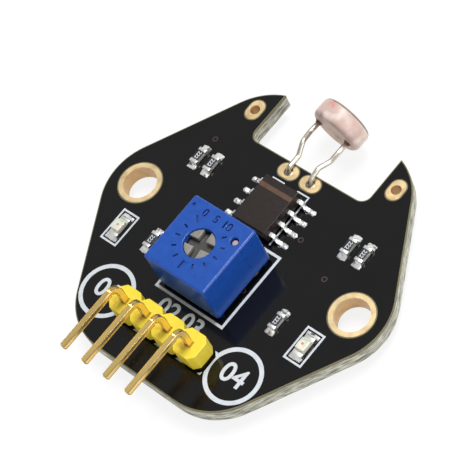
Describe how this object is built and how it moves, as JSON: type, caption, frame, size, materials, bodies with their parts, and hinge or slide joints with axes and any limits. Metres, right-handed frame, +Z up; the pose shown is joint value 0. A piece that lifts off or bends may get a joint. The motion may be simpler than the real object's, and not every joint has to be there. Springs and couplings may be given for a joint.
{
  "type": "light sensor module",
  "caption": "Black hexagonal circuit board with a photoresistor on bent leads over a notch, a trimmer, a comparator and a right-angle pin header.",
  "frame": {"origin": "midway between the two mounting holes, on the underside of the board's laminate", "axes": "+X towards the right-hand mounting hole, +Y towards the photoresistor, +Z up out of the face that carries the parts"},
  "size_m": [0.0312, 0.0322, 0.0081],
  "materials": {
    "laminate": "matt glass fibre",
    "solder_mask": "satin",
    "marking_ink": "printed",
    "gold_plating": "matt gold plate",
    "header_plastic": "moulded",
    "gold_pin": "gold plate",
    "solder": "bright solder",
    "trimmer_plastic": "moulded",
    "rotor_plastic": "moulded",
    "seal_rubber": "matt",
    "spring_metal": "sheet",
    "element_ceramic": "matt",
    "tinned_metal": "tinned",
    "chip_plastic": "moulded",
    "resistor_ceramic": "coated",
    "lamp_white": "moulded",
    "lamp_resin": "clear",
    "sensor_resin": "cast",
    "sensor_ceramic": "fired",
    "sensor_stripe": "fired",
    "electrode_metal": "printed"
  },
  "bodies": {
    "board": {"chip_lands": "gold_plating", "chip_solder": "solder", "circuit_board": "laminate", "comparator_body": "chip_plastic", "comparator_lead_1": "tinned_metal", "comparator_lead_2": "tinned_metal", "comparator_lead_3": "tinned_metal", "comparator_lead_4": "tinned_metal", "comparator_lead_5": "tinned_metal", "comparator_lead_6": "tinned_metal", "comparator_lead_7": "tinned_metal", "comparator_lead_8": "tinned_metal", "header_holes": "gold_plating", "header_housing": "header_plastic", "header_pin_1": "gold_pin", "header_pin_2": "gold_pin", "header_pin_3": "gold_pin", "header_pin_4": "gold_pin", "header_solder": "solder", "lamp_base_left": "lamp_white", "lamp_base_right": "lamp_white", "lamp_end_caps_left": "tinned_metal", "lamp_end_caps_right": "tinned_metal", "lamp_lens_left": "lamp_resin", "lamp_lens_right": "lamp_resin", "mounting_hole_left": "gold_plating", "mounting_hole_right": "gold_plating", "prong_hole_left": "gold_plating", "prong_hole_right": "gold_plating", "resistor_1": "resistor_ceramic", "resistor_2": "resistor_ceramic", "resistor_3": "resistor_ceramic", "resistor_4": "resistor_ceramic", "resistor_5": "resistor_ceramic", "resistor_6": "resistor_ceramic", "resistor_end_caps": "tinned_metal", "sensor_coat": "sensor_resin", "sensor_disc": "sensor_ceramic", "sensor_electrodes": "electrode_metal", "sensor_hole_left": "gold_plating", "sensor_hole_right": "gold_plating", "sensor_lead_left": "tinned_metal", "sensor_lead_right": "tinned_metal", "sensor_solder": "solder", "sensor_stripe": "sensor_stripe", "silkscreen": "marking_ink", "solder_mask_bottom": "solder_mask", "solder_mask_top": "solder_mask", "trimmer_element": "element_ceramic", "trimmer_holes": "gold_plating", "trimmer_housing": "trimmer_plastic", "trimmer_seal": "seal_rubber", "trimmer_solder": "solder", "trimmer_terminal_left": "tinned_metal", "trimmer_terminal_middle": "tinned_metal", "trimmer_terminal_right": "tinned_metal", "vias": "gold_plating"},
    "rotor": {"trimmer_rotor": "rotor_plastic", "trimmer_wiper": "spring_metal"}
  },
  "joints": [
    {"name": "trimmer_turn", "type": "hinge", "parent": "board", "child": "rotor", "pos_m": [-0.0003, -0.0031, 0.0052], "axis": [0, 0, 1], "range_deg": [-127, 113]}
  ]
}
